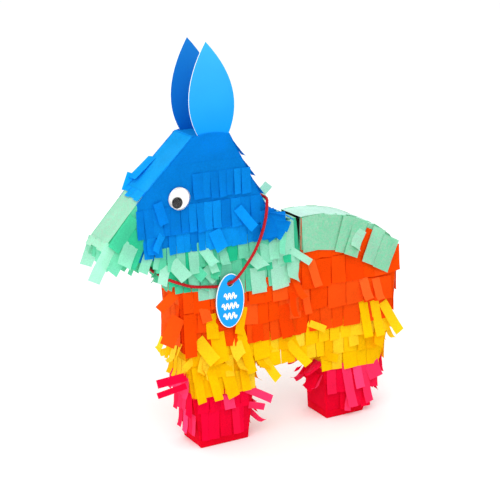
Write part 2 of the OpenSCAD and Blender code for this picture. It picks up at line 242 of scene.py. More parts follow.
def printed_card_with_painted_light(name, foot, head, left_side=1.0, right_side=1.0, span=(0, 1), core="f4f6f8"):
    """Printed card: faces toned from foot to head, a white core where it is cut, some satin; on the ears
    the toning is a painted highlight, and their darkened side faces are painted shade.
    """
    s = Shader(name)
    where = s.place()
    heights = s.add("ShaderNodeSeparateXYZ")
    s.link(where, heights.inputs[0])
    rise = s.add("ShaderNodeMapRange")
    rise.inputs["From Min"].default_value, rise.inputs["From Max"].default_value = span
    s.link(heights.outputs["Z"], rise.inputs["Value"])
    tone = s.ramp(rise.outputs[0], [(0, linear(foot)), (1, linear(head))])
    patch = s.ramp(s.noise(where, 40, 3), [(0.3, (0.94, 0.96, 0.98, 1)), (0.75, grey(1.02))])
    tone = s.mix(1.0, tone, patch, "MULTIPLY")
    geometry = s.add("ShaderNodeNewGeometry")
    parts = s.add("ShaderNodeSeparateXYZ")
    s.link(geometry.outputs["True Normal"], parts.inputs[0])
    # Faces towards -Y and +Y can be darkened: on the ears this is painted shade on their inner faces,
    # which face each other.
    for edge, face_shade, kind in ((-0.6, left_side, "LESS_THAN"), (0.6, right_side, "GREATER_THAN")):
        faces = s.add("ShaderNodeMath", operation=kind)
        faces.inputs[1].default_value = edge
        s.link(parts.outputs["Y"], faces.inputs[0])
        face_tone = s.mix(1.0, tone, (face_shade ** 2, face_shade, face_shade ** 0.6, 1), "MULTIPLY")
        base = s.mix(faces.outputs[0], linear(core) if kind == "LESS_THAN" else base, face_tone)
    grain = s.bump(s.noise(where, 2200, 3, 0.6), 0.12, 0.0001)
    return s.surface(base, 0.5, grain, specular=0.06)


def greyboard(name):
    """Uncoated card: flecks of fibre over a warm grey."""
    s = Shader(name)
    where = s.place()
    base = s.ramp(s.noise(where, 90, 4), [(0.3, linear("958a7b")), (0.7, linear("aea393"))])
    flecks = s.ramp(s.noise(where, 2600, 2, 0.7), [(0.62, grey(0)), (0.7, grey(1))])
    grain = s.bump(s.noise(where, 1800, 4), 0.3, 0.0002)
    return s.surface(s.mix(flecks, base, linear("7d7263")), 0.9, grain)


def plastic(name, colour, roughness):
    """Moulded plastic, or ink: one colour with faint clouds and a faint grain."""
    s = Shader(name)
    where = s.place()
    cloud = s.noise(where, 200, 2)
    tone = s.ramp(cloud, [(0.3, [c * 0.94 for c in linear(colour)[:3]] + [1]), (0.7, linear(colour))])
    return s.surface(tone, roughness, s.bump(s.noise(where, 900, 2), 0.05, 0.0001))


def clear_plastic(name):
    """The eye's thin clear dome: see-through, with a gloss that grows towards its rim."""
    s = Shader(name)
    gloss = s.add("ShaderNodeBsdfGlossy", roughness=0.08)
    rim = s.add("ShaderNodeFresnel")
    rim.inputs["IOR"].default_value = 1.1
    s.blend(rim.outputs[0], s.add("ShaderNodeBsdfTransparent"), gloss)
    s.tree.nodes.remove(s.principled)
    return s.material


def twine(name, colour, dark):
    """Twisted yarn, darker between its fibres: painted shade where its bump is low."""
    s = Shader(name)
    fibre = s.noise(s.place(), 2500, 3, 0.6)
    tone = s.ramp(fibre, [(0.3, linear(dark)), (0.65, linear(colour))])
    return s.surface(tone, 0.7, s.bump(fibre, 0.4, 0.0002), specular=0.25)


BLUE = tissue("tissue_blue", "0070c8", "0382de", "0a9cf5")
# A lighter copy of the blue for the brow and crown: painted light on faces turned up and forward.
BLUE_LIT_BROW = tissue("tissue_light_blue", "0a92ee", "10a8fb", "3dbcff", through=0.3)
MINT = tissue("tissue_mint", "28ce98", "76e0b8", "b8f2da", through=0.3)
# A paler copy of the mint for the lid's top: painted light on a face turned up to the light.
MINT_LIT_TOP = tissue("tissue_mint_lit_top", "a8ead0", "c6f8e4", "d8fff2", through=0.2)
MINT_GLUED = tissue("tissue_mint_glued", "62cc98", "86dcb2", "b4f2d6", glue="b9c9b8", through=0.2)
ORANGE = tissue("tissue_orange", "f23804", "fc4e02", "ff6e2a")
YELLOW = tissue("tissue_yellow", "ffae00", "ffce02", "ffe23a")
PINK = tissue("tissue_pink", "f00424", "ff0640", "ff4c86")
# Near-black tissue for the slit's edges: painted shade.
SLIT_SHADE = tissue("tissue_slit_shade", "0a0808", "100d0c", "1c1714", through=0)
CARD = greyboard("greyboard")
# The ear cards go lighter towards the tip, a painted highlight, and their inner faces are darker blue,
# painted shade between the ears.
EAR_SPAN = (0.262, 0.335)
EAR_CARD_LEFT = printed_card_with_painted_light("ear_card_left", "008fea", "38acf8", right_side=0.47, span=EAR_SPAN)
EAR_CARD_RIGHT = printed_card_with_painted_light("ear_card_right", "008fea", "38acf8", left_side=0.47, span=EAR_SPAN)
TAG_CARD = printed_card_with_painted_light("tag_card", "1796e0", "1c9ce6", span=(0.09, 0.145))
EYE_WHITE = plastic("eye_white", "fafaf8", 0.45)
PUPIL_BLACK = plastic("pupil_black", "0b0a0b", 0.2)
EYE_CLEAR = clear_plastic("eye_clear")
CORD_RED = twine("cord_red", "cc0a16", "7c050c")
TAG_INK = plastic("tag_ink", "ffffff", 0.6)


# ---------------------------------------------------------------- surfaces of the frame

def tree_of(*nodes):
    """A search tree over the faces of some CAD nodes."""
    verts, faces = [], []
    for node in nodes:
        mesh = NODES[node].data
        start = len(verts)
        verts += [v.co.copy() for v in mesh.vertices]
        faces += [[start + i for i in p.vertices] for p in mesh.polygons]
    return BVHTree.FromPolygons(verts, faces)


EDGE_STRIPS = ["chest_strip", "jaw_strip", "muzzle_strip", "face_strip", "crown_strip",
               "nape_strip", "withers_strip", "rump_strip", "rear_sole",
               "rear_leg_front_strip", "belly_strip", "front_leg_rear_strip", "front_sole",
               "lid_top"]
SIDE_PANELS = ["left_side_panel", "right_side_panel", "lid_left_cheek", "lid_right_cheek"]
CARTON = tree_of(*EDGE_STRIPS, *SIDE_PANELS)
SIDES = tree_of(*SIDE_PANELS)
HALF_W = -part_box("left_side_panel")[0].y
EYE_LOW, EYE_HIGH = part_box("left_eye_backing")
EYE = (EYE_LOW + EYE_HIGH) / 2
EYE_R = (EYE_HIGH.x - EYE_LOW.x) / 2 + 0.5 * MM     # with a little room round its rim
EYE_FLAT = 0.9 * MM     # the most that paper stands off the card under an eye
EYE_SLOPE = 0.8         # and how it may rise again round the rim
EYE_REACH = 6 * MM      # up to this far from it
TAG_LOW, TAG_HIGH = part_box("tag")
TAG_HOLE = mm(-26, -20.6, 142)
TAG_BACK = TAG_HIGH.y + 0.8 * MM                # no paper comes further out behind the tag
TAG_REACH = TAG_HOLE.z - TAG_LOW.z + 2 * MM     # its furthest sweep from the hole
TAG_SWEEP = math.radians(75)                    # and the widest, either side of straight down
TAG_NECK = 12 * MM      # all round the hole paper lies low this far
TAG_EASE = 1.5 * MM     # paper is pressed back over this distance
WELL_OUTSIDE = 0.4      # level rays towards the carton start at this distance


def on_panel(x, z, side):
    """True where the carton has a side face at this place in the side view."""
    start = Vector((x, side * (HALF_W + 5 * MM), z))
    return SIDES.ray_cast(start, Vector((0, -side, 0)), 8 * MM)[0] is not None


def edge_at(z, facing, strip):
    """The point and outward normal where a strip of card faces -X or +X at a height."""
    start = Vector((facing * WELL_OUTSIDE, 0, z))
    point, normal, _, _ = tree_of(strip).ray_cast(start, Vector((-facing, 0, 0)))
    return point, normal


def fall_line(out):
    """The way down along a strip of card, from its outward normal."""
    slope = Vector((out.z, 0, -out.x))
    return slope if slope.z < 0 else -slope


# ---------------------------------------------------------------- paper

LIFT = 0.35 * MM        # how far the innermost sheet lies off the card
SHEET_LAP = 0.55 * MM   # how far a sheet laps over the edge of its face
FLOOR_GAP = 0.4 * MM    # how far a sheet round a foot stays off the floor
STEP = 2.2 * MM         # length of a strip's segments
SKIN_NEAR = 0.8 * MM    # a fringe node's outer faces lie between these distances from the card
SKIN_FAR = 4.2 * MM
SKIN_SQUARE = 0.7       # and this square to it, as a cosine


def crinkle(point, size, seed=0.0):
    """Smooth seeded noise from -1 to 1 with features of about this size."""
    return noise.noise(point / size + Vector((seed, seed * 1.7, seed * 0.3)))


class Paper:
    """Gathers sheets and strips of tissue, which become one piece."""

    def __init__(self, seed):
        self.random = random.Random(seed)
        self.seed = seed
        self.verts, self.faces, self.uvs, self.tones = [], [], [], []

    def grid(self, rows, uv_rows, tone):
        """Adds a sheet from rows of points, all of the same length."""
        start = len(self.verts)
        across = len(rows[0])
        for row, uv_row in zip(rows, uv_rows):
            self.verts += row
            self.uvs += uv_row
            self.tones += [tone] * across
        for i in range(len(rows) - 1):
            for j in range(across - 1):
                a = start + i * across + j
                self.faces.append((a, a + 1, a + across + 1, a + across))

    def strip(self, root, down, out, width, length, rise=0.08, curl=0.3, bend=0.5,
              lean=0.0, twist=0.0, tone=0.5, skew=0.0, lift=LIFT * 2, camber=0.04):
        """One cut strip: it leaves its root along down, rises off the surface, then curls."""
        down = (Matrix.Rotation(lean, 3, out) @ down).normalized()
        across = down.cross(out).normalized()
        steps = max(4, round(length / STEP))
        place = root + out * lift
        rows, uv_rows = [], []
        for i in range(steps + 1):
            t = i / steps
            bent = max(0.0, (t - bend) / (1 - bend))
            angle = rise + curl * bent ** 1.4
            along = down * math.cos(angle) + out * math.sin(angle)
            normal = out * math.cos(angle) - down * math.sin(angle)
            side = Matrix.Rotation(twist * t, 3, along) @ across
            normal = side.cross(along) if side.cross(along).dot(normal) > 0 else along.cross(side)
            row, uv_row = [], []
            for j in (-1, -0.5, 0, 0.5, 1):
                point = place + side * (j * width / 2) + normal * (camber * width * (1 - j * j))
                if i == steps:
                    point = point + along * (j * skew * width / 2)
                wrinkle = crinkle(point, 6 * MM, self.seed) * 0.35 * MM * min(1.0, 3 * t)
                row.append(self.clear(point + normal * wrinkle))
                uv_row.append(((j * width / 2) / MM, t * length / MM))
            rows.append(row)
            uv_rows.append(uv_row)
            place = place + along * (length / steps)
        self.grid(rows, uv_rows, tone)

    def clear(self, point):
        """The point itself, or the nearest place outside the carton."""
        near, normal, _, _ = CARTON.find_nearest(point, 4 * MM)
        if near is not None:
            point = point + normal * max(0.0, LIFT - (point - near).dot(normal))
        # Paper runs flat under the eyes, and rises again round their rims.
        from_eye = math.hypot(point.x - EYE.x, point.z - EYE.z) - EYE_R
        most = HALF_W + EYE_FLAT + max(0.0, from_eye) * EYE_SLOPE
        if from_eye < EYE_REACH and abs(point.y) > most:
            point = Vector((point.x, math.copysign(most, point.y), point.z))
        # And it stays behind the tag, wherever the tag swings.
        from_hole = math.hypot(point.x - TAG_HOLE.x, point.z - TAG_HOLE.z)
        swing = abs(math.atan2(point.x - TAG_HOLE.x, TAG_HOLE.z - point.z))
        over = TAG_BACK + TAG_EASE - point.y
        if over > 0 and (from_hole < TAG_NECK or from_hole < TAG_REACH and swing < TAG_SWEEP):
            pressed = TAG_EASE * math.exp(-over / TAG_EASE)
            point = Vector((point.x, TAG_BACK + pressed, point.z))
        return point

    def skin(self, node, spacing=4 * MM, crumple=0.15 * MM, tone=0.35, foot=None, lowest=-1):
        """The bare sheet that a CAD node's fringe is glued over, laid close on the card."""
        bm = bmesh.new()
        bm.from_mesh(NODES[node].data)
        bm.normal_update()
        hidden = []
        for face in bm.faces:
            _, normal, _, distance = CARTON.find_nearest(face.calc_center_median())
            if not SKIN_NEAR < distance < SKIN_FAR or face.normal.dot(normal) < SKIN_SQUARE:
                hidden.append(face)
        bmesh.ops.delete(bm, geom=hidden, context="FACES")
        low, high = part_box(node)
        for axis in range(3):
            normal = Vector([1 if i == axis else 0 for i in range(3)])
            at = low[axis] + spacing
            while at < high[axis]:
                slice_mesh(bm, normal * at, normal)
                at += spacing
        below = [face for face in bm.faces if face.calc_center_median().z < lowest]
        bmesh.ops.delete(bm, geom=below, context="FACES")
        bm.verts.index_update()
        bm.normal_update()
        reach = {}
        for edge in bm.edges:
            if edge.is_boundary:
                face = edge.link_faces[0]
                away = (edge.verts[1].co - edge.verts[0].co).normalized().cross(face.normal)
                if away.dot(edge.verts[0].co - face.calc_center_median()) < 0:
                    away = -away
                for vert in edge.verts:
                    reach[vert.index] = reach.get(vert.index, Vector()) + away
        for vert in bm.verts:
            near, normal, _, _ = CARTON.find_nearest(vert.co)
            if foot is not None and near.z < foot:
                near = Vector((near.x, near.y, FLOOR_GAP))
            rumple = crumple * (1 + crinkle(near, 9 * MM, self.seed + 5))
            vert.co = near + normal * (LIFT * 0.6 + rumple)
            if vert.index in reach:
                vert.co += reach[vert.index].normalized() * SHEET_LAP
                vert.co.z = max(vert.co.z, FLOOR_GAP - 0.1 * MM)
        bmesh.ops.remove_doubles(bm, verts=bm.verts, dist=0.05 * MM)
        bmesh.ops.dissolve_degenerate(bm, edges=bm.edges, dist=0.05 * MM)
        bm.verts.index_update()
        start = len(self.verts)
        for vert in bm.verts:
            self.verts.append(vert.co.copy())
            self.uvs.append(((vert.co.x + vert.co.y) / MM, vert.co.z / MM))
            # Under a fringe this tone is mostly set deeper than its strips': painted shade in the recesses
            # between them.
            self.tones.append(tone + 0.12 * crinkle(vert.co, 25 * MM, self.seed))
        self.faces += [tuple(start + v.index for v in face.verts) for face in bm.faces]
        bm.free()

    def row(self, at, span, length, widths=(6.4, 7, 7.6, 9), wild=0.04, lean=0.02,
            tone=0.5, curl=0.12, rise=0.06, spread=0.12, lift=LIFT, uneven=0.03):
        """A row of strips, cut side by side along at(distance), which gives root, out and down."""
        pick = self.random
        place = 0.0
        while place < span:
            width = pick.choice(widths) * MM
            found = at(place + width / 2)
            place += width
            if found is None:
                continue
            root, out, down = found
            free = pick.random() < wild
            self.strip(
                root, down, out, width * pick.uniform(0.93, 1.0),
                length * pick.uniform(1 - uneven, 1 + uneven),
                rise=rise + abs(pick.gauss(0, 0.02)) + (pick.uniform(0.1, 0.4) if free else 0),
                curl=curl * pick.uniform(0.2, 1.6) + (pick.uniform(0.3, 1.2) if free else 0),
                bend=pick.uniform(0.3, 0.7),
                lean=pick.gauss(0, lean) + (pick.uniform(-0.7, 0.7) if free else 0),
                twist=pick.gauss(0, 0.08) + (pick.uniform(-0.7, 0.7) if free else 0),
                tone=min(1, max(0, pick.gauss(tone, spread) + (0.3 if free else 0))),
                skew=pick.uniform(-0.12, 0.12), lift=lift + pick.uniform(0, 0.5 * MM))

    def side_row(self, side, start, end, length, **kinds):
        """A row of strips on a side face, along a root line between two places (x, z) in mm."""
        a, b = Vector((start[0], 0, start[1])) * MM, Vector((end[0], 0, end[1])) * MM
        span = (b - a).length
        out = Vector((0, side, 0))

        def at(distance):
            point = a + (b - a) * min(1.0, distance / span)
            if not on_panel(point.x, point.z, side):
                return None
            return Vector((point.x, side * HALF_W, point.z)), out, DOWN

        self.row(at, span, length * MM, **kinds)

    def edge_row(self, strip, facing, height, length, hang=0.5, **kinds):
        """A row of strips across an edge of the carton, at a height in mm."""
        point, out = edge_at(height * MM, facing, strip)
        down = fall_line(out).lerp(DOWN, hang if out.z < 0 else 0).normalized()

        def at(distance):
            return Vector((point.x, distance - HALF_W, point.z)), out, down

        self.row(at, 2 * HALF_W, length * MM, **kinds)

    def edge_rows(self, strip, facing, *rows, **kinds):
        """Such rows one under another, each with its height and length in mm."""
        for height, length in rows:
            self.edge_row(strip, facing, height, length, **kinds)

    def build(self, name, material, slot, *nodes, body="carton"):
        """Makes the piece, which rides on a body and stands for some CAD nodes."""
        mesh = bpy.data.meshes.new(name)
        mesh.from_pydata(self.verts, [], self.faces)
        uv_map = mesh.uv_layers.new(name="UVMap")
        for loop in mesh.loops:
            uv_map.data[loop.index].uv = self.uvs[loop.vertex_index]
        tones = mesh.attributes.new(TONE, "FLOAT", "POINT")
        tones.data.foreach_set("value", self.tones)
        piece = put(name, mesh, material, smooth=True)
        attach(piece, body)
        if nodes:
            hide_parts(*nodes)

    def loose(self, side, x, z, angle, width, length, rise=0.15, curl=0.4, tone=0.7, lift=1.2,
              **kinds):
        """One strip placed as given on a side face, in mm; angle in degrees swings it towards +X."""
        turn = math.radians(angle)
        down = Vector((math.sin(turn), 0, -math.cos(turn)))
        root = Vector((x * MM, side * HALF_W, z * MM))
        self.strip(root, down, Vector((0, side, 0)), width * MM, length * MM, rise=rise,
                   curl=curl, tone=tone, lift=lift * MM, skew=self.random.uniform(-0.15, 0.15),
                   **kinds)

    def hang(self, sides, *strips, **kinds):
        """Loose strips on one or both sides: x, z, angle, width, length, rise, curl and tone."""
        for strip in strips:
            for side in sides:
                self.loose(side, *strip, **kinds)

    def flyer(self, place, out, down, width, length, rise, curl, tone=0.6, **kinds):
        """One strip that leaves an edge of the carton, placed as given in mm."""
        self.strip(mm(*place), Vector(down).normalized(), Vector(out).normalized(), width * MM,
                   length * MM, rise=rise, curl=curl, tone=tone, **kinds)

    def hem(self, front_strip, rear_strip, low, high, tone):
        """A band of paper turned round the foot of a leg, between two heights in mm."""
        rows, uv_rows = [], []
        for z in (high, (high + low) / 2, low):
            front = edge_at(z * MM, -1, front_strip)[0].x
            rear = edge_at(z * MM, 1, rear_strip)[0].x
            ring = []
            for x, y, turn in ((front, -HALF_W, 5), (rear, -HALF_W, 7), (rear, HALF_W, 1),
                               (front, HALF_W, 3)):
                for step in (-0.5, 0, 0.5):
                    a = (turn + step) * math.pi / 4
                    off = Vector((math.cos(a), math.sin(a), 0)) * LIFT * 2
                    ring.append(Vector((x, y, z * MM)) + off)
            ring.append(ring[0].copy())
            rows.append(ring)
            uv_rows.append([(i * 3.0, z) for i in range(len(ring))])
        self.grid(rows, uv_rows, tone)


# ---------------------------------------------------------------- cord

CORD_D = 2.4 * MM
STRANDS = 3
LAY = 9 * MM            # along the cord, one turn of its strands
GROOVE = 0.16           # depth between the strands, as a part of the radius
# Knot over the nape, round the back of the neck, down the left side, through the tag's hole,
# across the chest and up the right side to the knot.
CORD_ROUTE = [mm(*place) for place in (
    (10, 19, 203), (12, 14, 206), (12.5, 6, 207), (12.5, -6, 207), (12, -14, 206),
    (9.5, -19, 203), (8.5, -20, 197), (7, -20.5, 190), (4.5, -21, 182), (0.5, -21.5, 173),
    (-5, -22.2, 164), (-12, -22.4, 155), (-17, -22.5, 149.4), (-21, -22.5, 145.6),
    (-23.5, -22.3, 143.7), (-24.8, -21.6, 142.8), (-26, -20.6, 142), (-27.2, -19.6, 141.2),
    (-28.5, -18.9, 140.4), (-32, -18.7, 139.8), (-38, -18.7, 140.2), (-46, -18.8, 141.4),
    (-54, -18.8, 142.6), (-62, -19, 144.5), (-70, -19.5, 148), (-77, -18.5, 151),
    (-80.5, -13, 152.5), (-81.5, -5, 153), (-81.5, 5, 153), (-80.5, 13, 153),
    (-77, 18.5, 153), (-70, 19.5, 153), (-58, 19.3, 154), (-44, 19.2, 157), (-30, 19.2, 162),
    (-17, 19.3, 169), (-6, 19.5, 178), (2, 20, 188), (6.5, 20.5, 196))]
KNOT_CENTRE = mm(8.6, 20.6, 200.4)


def smooth_line(points, parts):
    """A smooth curve through the points, each stretch cut into parts."""
    ends = [points[0] * 2 - points[1]] + points + [points[-1] * 2 - points[-2]]
    line = []
    for a, b, c, d in zip(ends, ends[1:], ends[2:], ends[3:]):
        for i in range(parts):
            t = i / parts
            line.append(0.5 * (2 * b + (c - a) * t + (2 * a - 5 * b + 4 * c - d) * t * t
                               + (3 * b - a - 3 * c + d) * t ** 3))
    return line + [points[-1].copy()]


def twisted_tube(name, line, radius, sides=18, closed=False):
    """A length of the cord along a line: strands twisted round each other."""
    bm = bmesh.new()
    rings, run, side = [], 0.0, None
    for i, place in enumerate(line):
        ahead = line[(i + 1) % len(line)] if closed else line[min(i + 1, len(line) - 1)]
        behind = line[i - 1] if closed else line[max(i - 1, 0)]
        along = (ahead - behind).normalized()
        if side is None:
            side = along.orthogonal().normalized()
        side = (side - along * side.dot(along)).normalized()
        other = along.cross(side)
        if i:
            run += (place - line[i - 1]).length
        ring = []
        for j in range(sides):
            angle = 2 * math.pi * j / sides
            strand = abs(math.cos(STRANDS * (angle - 2 * math.pi * run / LAY) / 2))
            r = radius * (1 - GROOVE * (1 - strand))
            spoke = side * (r * math.cos(angle)) + other * (r * math.sin(angle))
            ring.append(bm.verts.new(place + spoke))
        rings.append(ring)
    for one, two in zip(rings, rings[1:] + (rings[:1] if closed else [])):
        for j in range(sides):
            k = (j + 1) % sides
            bm.faces.new((one[j], one[k], two[k], two[j]))
    if not closed:
        bm.faces.new(reversed(rings[0]))
        bm.faces.new(rings[-1])
    bmesh.ops.recalc_face_normals(bm, faces=bm.faces)
    piece = put(name, mesh_from(bm, name), CORD_RED, smooth=True)
    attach(piece, "carton")
    return piece


def knot_line(steps=96, size=0.75 * MM):
    """A trefoil, the middle of an overhand knot pulled tight."""
    line = []
    for i in range(steps):
        t = 2 * math.pi * i / steps
        flat = Vector((math.sin(t) + 2 * math.sin(2 * t), math.sin(3 * t) * 1.1,
                       math.cos(t) - 2 * math.cos(2 * t)))
        line.append(KNOT_CENTRE + flat * size)
    return line


def make_cord():
    """The cord round the neck, its knot and the knot's two tails."""
    path = smooth_line(CORD_ROUTE, 14)
    cord = twisted_tube("red_neck_cord", path, CORD_D * 0.535)
    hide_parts("neck_cord")
    knot = twisted_tube("cord_overhand_knot", knot_line(), 1.0 * MM, closed=True)
    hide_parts("cord_knot")
    for number, reach in enumerate(((-3.5, 2.4, -8.5), (1.5, 3.0, -9.5)), 1):
        start = KNOT_CENTRE + mm(0, 1.2, -1.5)
        bend = KNOT_CENTRE + mm(reach[0] * 0.4, reach[1] * 1.1, reach[2] * 0.5)
        line = smooth_line([start, bend, KNOT_CENTRE + mm(*reach)], 10)
        twisted_tube("cord_tail_%d" % number, line, 0.95 * MM, sides=12)


make_cord()


# ---------------------------------------------------------------- fringes

EAR_FOOT = (244, 247, 250, 253, 256, 259, 261.5, 263.5)     # heights of its rows of points, in mm


def ear_foot(paper, side):
    """Blue paper over the foot of an ear, with a bowed upper edge."""
    rows, uv_rows = [], []
    columns = 14
    for height in EAR_FOOT:
        front = edge_at(min(height, 262) * MM, -1, "face_strip")[0].x
        rear = edge_at(min(height, 262) * MM, 1, "nape_strip")[0].x
        row = []
        for i in range(columns + 1):
            t = i / columns
            middle = 1 - (2 * t - 1) ** 2
            bow = 2.6 * MM * middle if height == EAR_FOOT[-1] else 0
            swell = min(1, (height - EAR_FOOT[0]) / 6) * min(1, 3 * middle)
            out = HALF_W + (0.5 + 0.95 * swell) * MM
            row.append(Vector((front + (rear - front) * t, side * out, height * MM + bow)))
        rows.append(row)
        uv_rows.append([(point.x / MM, point.z / MM) for point in row])
    paper.grid(rows, uv_rows, 0.5)


def head_side(side, seed):
    """Blue rows on a side of the head, from the eye down to the neck."""
    name = SIDE_NAME[side]
    paper = Paper(seed)
    paper.skin(name + "_blue_fringe", tone=0.45)
    paper.side_row(side, (-101, 193), (19, 193), 21, tone=0.72)
    paper.side_row(side, (-106, 211), (4, 211), 23, tone=0.56, wild=0)
    paper.side_row(side, (-57, 235), (-8, 235), 21, tone=0.42, wild=0)
    ear_foot(paper, side)
    paper.loose(side, -94, 197, -2, 8, 22, tone=0.75)
    paper.loose(side, -17, 203, 34, 8, 22, 0.3, 0.7, 0.95, lift=2.5, twist=0.5)
    paper.loose(side, -38, 187, 18, 11, 17, 0.25, 0.3, 1, lift=1.8)
    paper.loose(side, 10, 198, 6, 14, 24, 0.1, 0.1, 0.5, lift=2.2)
    paper.loose(side, -88, 216, 14, 8, 18, 0.12, tone=0.55, lift=2.2)
    paper.build(name + "_head_fringe", BLUE, "tissue_blue", name + "_blue_fringe")


def forehead():
    """The smooth sheet over the brow, with its cut lower end, and the crown, in a lighter copy of the
    blue: painted light on faces turned up and forward.
    """
    paper = Paper(21)
    paper.skin("forehead_paper", tone=0.55, crumple=0.3 * MM)
    paper.skin("crown_paper", tone=0.25, crumple=0.3 * MM)
    point, out = edge_at(224 * MM, -1, "face_strip")
    slope = fall_line(out)
    for y, length, rise, tone in ((-11.4, 9, 0.02, 0.55), (-3.8, 8, 0.02, 0.55),
                                  (3.6, 9, 0.06, 0.5), (11.5, 5, 0.1, 0.5)):
        paper.strip(point + mm(0, y, 0), slope, out, 7.6 * MM, length * MM, rise=rise, curl=0.15,
                    tone=tone, lift=LIFT * 3)
    # The sheet is wider than the card at its lower end, and stands out past its far edge.
    paper.strip(point - slope * 30 * MM + mm(0, 15, 0), slope, out, 12 * MM, 25 * MM,
                rise=0.12, curl=0.05, tone=0.5, lean=0.1)
    paper.flyer((-92, 17, 233), (-0.4, -0.9, 0.15), (-0.37, 0, -0.93), 10, 15, 0.05, 0.3, 0.4)
    paper.build("forehead_sheet", BLUE_LIT_BROW, "tissue_light_blue", "forehead_paper", "crown_paper")


def nape():
    """Blue paper down the back of the head, cut into strips that stand away from it."""
    paper = Paper(31)
    paper.skin("nape_paper", tone=0.5)
    for height, length, rise in ((208, 14, 0.1), (224, 18, 0.1), (242, 20, 0.12), (259, 20, 0.14)):
        paper.edge_row("nape_strip", 1, height, length, rise=rise, curl=0.1, wild=0, tone=0.5)
    for side in BOTH:
        paper.hang([side], (7, 188, 30, 9, 18, 0.06, 0.25, 0.4), (7, 189, 50, 9, 23, 0.06, 0.25, 0.5),
                   (7, 190, 69, 9, 25, 0.06, 0.25, 0.62), (6, 192, 86, 8, 21, 0.06, 0.25, 0.75),
                   lift=2.4)
    for y, turn, length, rise in (
            (-14, -0.62, 25, 0.16), (-9, -0.34, 25, 0.1), (-3, -0.1, 24, 0.14),
            (3, 0.1, 24, 0.1), (9, 0.34, 25, 0.14), (14, 0.62, 25, 0.1)):
        down = Matrix.Rotation(turn, 3, "Z") @ Vector((1, 0, -0.3))
        paper.flyer((10, y, 195), (0.3, 0, 1), down, 9.5, length, rise, -0.8, 0.6, bend=0.45)
    paper.build("nape_fringe", BLUE, "tissue_blue", "nape_paper", "nape_flap")


def muzzle_band():
    """The smooth mint sheet down the face, blotted with glue."""
    paper = Paper(41)
    paper.skin("muzzle_paper", tone=0.75, crumple=0.4 * MM)
    for y, length in ((-10, 8), (0, 7), (10, 8.5)):
        paper.flyer((-129.8, y, 188.6), (-0.74, 0, 0.68), (-0.68, 0, -0.74), 10.2, length, 0,
                    -0.25, 0.8)
    paper.build("muzzle_sheet", MINT_GLUED, "tissue_mint", "muzzle_paper")


def muzzle_side(side, seed):
    """Wide mint strips that hang forwards from a side of the muzzle."""
    name = SIDE_NAME[side]
    paper = Paper(seed)
    paper.skin(name + "_muzzle_fringe", tone=0.3)
    swing = 0 if side == LEFT else 20
    for x, z, angle, width, length, rise, curl, tone in (
            (-92, 184, -24, 9, 25, 0.05, 0.1, 0.7), (-87, 178, -16, 5, 16, 0.1, 0.3, 0.6),
            (-100, 190, -29, 9, 26, 0.08, 0.1, 0.08), (-122, 186, -42, 11, 22, 0.05, 0.1, 0.75),
            (-113, 187, -38, 12, 27, 0.08, 0.1, 0.55), (-107, 206, -42, 11, 30, 0.07, 0.1, 0.15),
            (-103, 194, -38, 12, 20, 0.10, 0.1, 0.05), (-108, 190, -32, 13, 24, 0.20, 0.5, 0.72),
            (-127, 187, -36, 11, 32, 0.14, 0.2, 0.88)):
        paper.loose(side, x, z, angle + swing, width, length - swing * 0.3, rise, curl, tone,
                    lift=0.8)
    paper.build(name + "_muzzle_strips", MINT, "tissue_mint", name + "_muzzle_fringe")


def muzzle_front():
    """Strips that hang from the snout's tip."""
    paper = Paper(61)
    for y, width, length, rise, tone in ((-10, 8, 17, 0.2, 0.6), (-2, 9, 14, 0.12, 0.5),
                                         (6, 8, 16, 0.1, 0.6), (12, 6, 13, 0.15, 0.5)):
        paper.flyer((-127.5, y, 184.5), (-1, 0, 0.05), (-0.05, 0, -1), width, length, rise, 0.1,
                    tone)
    paper.build("snout_strips", MINT, "tissue_mint", "front_muzzle_fringe")


def jaw():
    """The sheet under the jaw, and three rows of short strips on it."""
    paper = Paper(62)
    paper.skin("jaw_paper", tone=0.3)
    for x in (-106, -98, -90):
        for number in range(4):
            rise = paper.random.uniform(-0.2, 0.2)
            paper.flyer((x, -11 + 7.4 * number, 169.5), (0.6, 0, -0.5), (-0.5, 0, -0.6), 7, 11,
                        rise, 0.3, 0.45)
    paper.build("jaw_strips", MINT, "tissue_mint", "jaw_paper")


